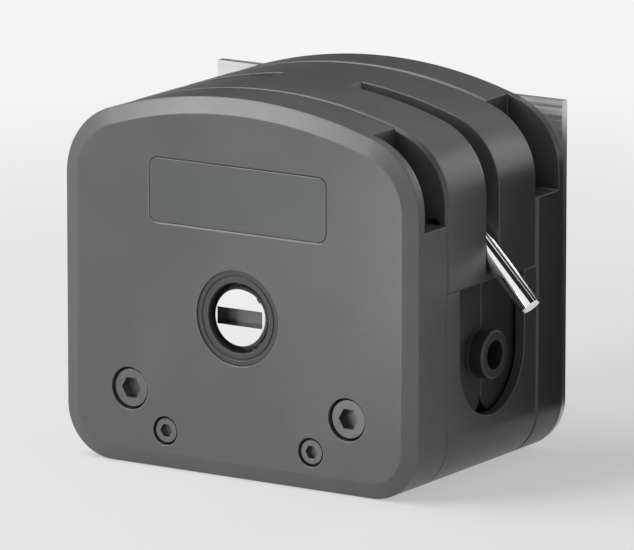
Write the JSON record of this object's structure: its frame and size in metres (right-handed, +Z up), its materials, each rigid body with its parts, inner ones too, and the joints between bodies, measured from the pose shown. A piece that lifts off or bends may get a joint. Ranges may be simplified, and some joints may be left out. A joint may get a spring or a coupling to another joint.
{
  "type": "peristaltic pump head",
  "caption": "Moulded peristaltic pump head with a roller rotor, spring tube jaws in side slots, and side levers that lift the occlusion block.",
  "frame": {"origin": "on the rotor axis, in the rear mounting face", "axes": "+X to the right seen from the front, +Y to the rear along the rotor axis, +Z up"},
  "size_m": [0.1664, 0.104, 0.123],
  "materials": {
    "housing_plastic": "satin moulded, fine grain",
    "label_blank": "satin",
    "dark_plastic": "satin",
    "jaw_plastic": "satin",
    "roller_plastic": "smooth",
    "stainless_polished": "polished",
    "stainless": "turned",
    "spring_steel": "oiled",
    "black_screw": "black oxide",
    "rotor_alloy": "anodised"
  },
  "bodies": {
    "housing": {"front_cover": "housing_plastic", "label_plate": "label_blank", "front_ring": "dark_plastic", "lower_casing": "housing_plastic", "rear_casing": "housing_plastic", "back_plate": "stainless", "mounting_screws": "black_screw", "cover_screws": "black_screw", "plate_screws": "stainless", "dowels": "stainless", "guide_pins": "stainless", "lift_racks": "spring_steel", "bearing_outer_rings": "stainless", "jaw_springs": "spring_steel"},
    "block": {"occlusion_block": "housing_plastic"},
    "right_lever": {"right_lever_shaft": "stainless", "right_lever_hub": "stainless_polished", "right_lever_rod": "stainless_polished"},
    "left_lever": {"left_lever_shaft": "stainless", "left_lever_hub": "stainless_polished", "left_lever_rod": "stainless_polished"},
    "rotor": {"rotor_shaft": "stainless_polished", "rotor_key": "stainless", "rotor_plate_rear": "rotor_alloy", "rotor_plate_front": "rotor_alloy", "rotor_sleeve": "rotor_alloy", "rotor_spacers": "stainless", "shaft_rings": "spring_steel", "bearing_inner_rings": "stainless", "roller_pins": "stainless", "roller_clips": "spring_steel"},
    "roller_1": {"roller_1": "roller_plastic", "roller_bearings_1": "stainless"},
    "roller_2": {"roller_2": "roller_plastic", "roller_bearings_2": "stainless"},
    "roller_3": {"roller_3": "roller_plastic", "roller_bearings_3": "stainless"},
    "jaw_right_front": {"jaw_right_front": "jaw_plastic"},
    "jaw_right_rear": {"jaw_right_rear": "jaw_plastic"},
    "jaw_left_front": {"jaw_left_front": "jaw_plastic"},
    "jaw_left_rear": {"jaw_left_rear": "jaw_plastic"}
  },
  "joints": [
    {"name": "block_lift", "type": "slide", "parent": "housing", "child": "block", "axis": [0, 0, 1], "range_m": [0, 0.01025]},
    {"name": "right_lever_turn", "type": "hinge", "parent": "block", "child": "right_lever", "pos_m": [0.042, -0.046, 0.0452], "axis": [0, -1, 0], "range_deg": [0, 178]},
    {"name": "left_lever_turn", "type": "hinge", "parent": "block", "child": "left_lever", "pos_m": [-0.042, -0.046, 0.0452], "axis": [0, 1, 0], "range_deg": [0, 178]},
    {"name": "rotor_turn", "type": "hinge", "parent": "housing", "child": "rotor", "pos_m": [0, 0, 0], "axis": [0, 1, 0], "continuous": true},
    {"name": "roller_1_turn", "type": "hinge", "parent": "rotor", "child": "roller_1", "pos_m": [0, -0.046, 0.0288], "axis": [0, 1, 0], "continuous": true},
    {"name": "roller_2_turn", "type": "hinge", "parent": "rotor", "child": "roller_2", "pos_m": [-0.02494, -0.046, -0.0144], "axis": [0, 1, 0], "continuous": true},
    {"name": "roller_3_turn", "type": "hinge", "parent": "rotor", "child": "roller_3", "pos_m": [0.02494, -0.046, -0.0144], "axis": [0, 1, 0], "continuous": true},
    {"name": "jaw_right_front_slide", "type": "slide", "parent": "housing", "child": "jaw_right_front", "axis": [0, -1, 0], "range_m": [0, 0.0025], "stiffness_N_per_m": 2000, "springref_m": -0.002},
    {"name": "jaw_right_rear_slide", "type": "slide", "parent": "housing", "child": "jaw_right_rear", "axis": [0, 1, 0], "range_m": [0, 0.0025], "stiffness_N_per_m": 2000, "springref_m": -0.002},
    {"name": "jaw_left_front_slide", "type": "slide", "parent": "housing", "child": "jaw_left_front", "axis": [0, -1, 0], "range_m": [0, 0.0025], "stiffness_N_per_m": 2000, "springref_m": -0.002},
    {"name": "jaw_left_rear_slide", "type": "slide", "parent": "housing", "child": "jaw_left_rear", "axis": [0, 1, 0], "range_m": [0, 0.0025], "stiffness_N_per_m": 2000, "springref_m": -0.002}
  ],
  "couplings": [
    {"joint": "right_lever_turn", "follows": "block_lift", "rad_per_m": 303.03},
    {"joint": "left_lever_turn", "follows": "block_lift", "rad_per_m": 303.03}
  ]
}
